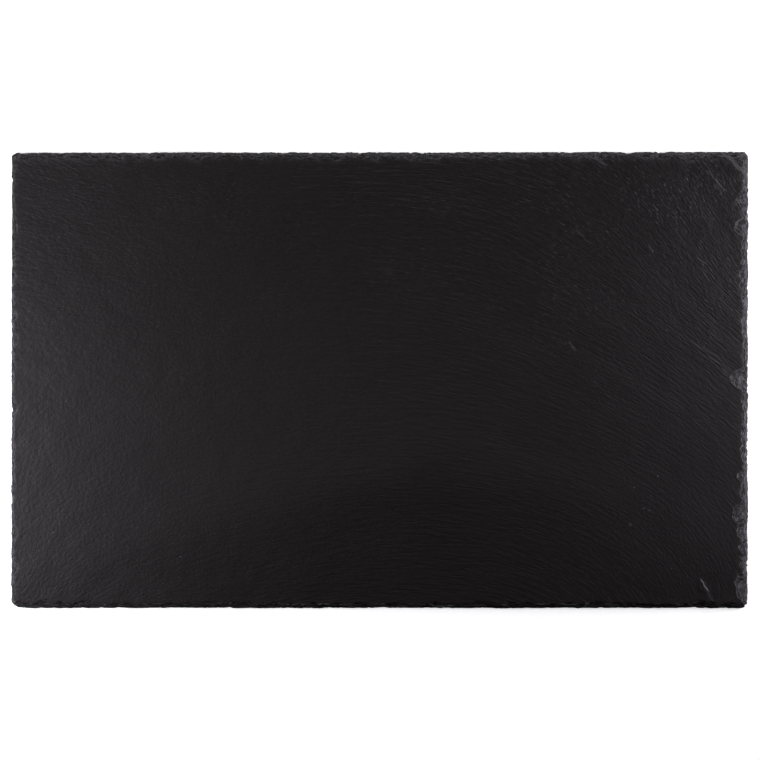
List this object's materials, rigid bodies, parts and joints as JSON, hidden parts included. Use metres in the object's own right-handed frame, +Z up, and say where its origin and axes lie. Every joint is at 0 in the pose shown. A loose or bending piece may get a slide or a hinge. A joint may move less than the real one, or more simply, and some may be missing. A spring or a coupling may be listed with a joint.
{
  "type": "slate slab",
  "caption": "Flat rectangular leaf of black slate with a riven face and chipped, stepped edges, for serving food or standing things on.",
  "frame": {"origin": "middle of the underside, where the slab lies on the table", "axes": "+Z up out of the riven face, X along the long side, +Y towards the far long side"},
  "size_m": [0.5303, 0.328, 0.0074],
  "materials": {
    "slate": "dull, riven, near-black slate"
  },
  "bodies": {
    "root": {"slate_slab": "slate"}
  },
  "joints": []
}
